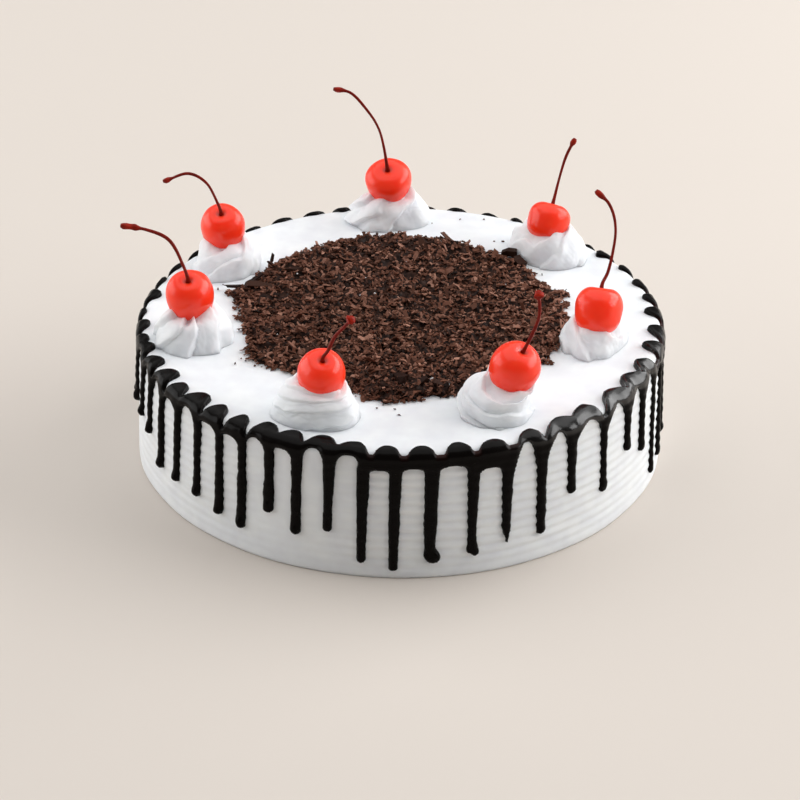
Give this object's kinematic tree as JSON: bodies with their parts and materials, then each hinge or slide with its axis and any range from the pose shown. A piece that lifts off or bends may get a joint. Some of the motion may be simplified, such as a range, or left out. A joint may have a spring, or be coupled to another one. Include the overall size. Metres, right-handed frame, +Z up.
{
  "type": "black forest cake",
  "caption": "Round iced black forest cake with a comb-ridged cream side, a dripping chocolate rim, shaved chocolate on top and piped cream swirls that hold glazed cherries.",
  "frame": {"origin": "middle of the flat underside", "axes": "+Z up out of the top of the cake, -Y towards the front, +X to the right"},
  "size_m": [0.227, 0.224, 0.118],
  "materials": {
    "whipped_cream": "smooth whipped cream, white, soft sheen",
    "ganache": "glossy near-black chocolate ganache",
    "chocolate_shavings": "matt dark chocolate chips and crumbs",
    "glazed_cherry": "glossy bright red glazed cherry skin",
    "cherry_stem": "dark red-brown stem, slightly moist"
  },
  "bodies": {
    "root": {"cake_body": "whipped_cream", "ganache_drip": "ganache", "chocolate_shavings": "chocolate_shavings", "rosette_1": "whipped_cream", "rosette_2": "whipped_cream", "rosette_3": "whipped_cream", "rosette_4": "whipped_cream", "rosette_5": "whipped_cream", "rosette_6": "whipped_cream", "rosette_7": "whipped_cream", "cherry_1": "glazed_cherry", "cherry_2": "glazed_cherry", "cherry_3": "glazed_cherry", "cherry_4": "glazed_cherry", "cherry_5": "glazed_cherry", "cherry_6": "glazed_cherry", "cherry_7": "glazed_cherry", "cherry_stem_1": "cherry_stem", "cherry_stem_2": "cherry_stem", "cherry_stem_3": "cherry_stem", "cherry_stem_4": "cherry_stem", "cherry_stem_5": "cherry_stem", "cherry_stem_6": "cherry_stem", "cherry_stem_7": "cherry_stem"}
  },
  "joints": []
}
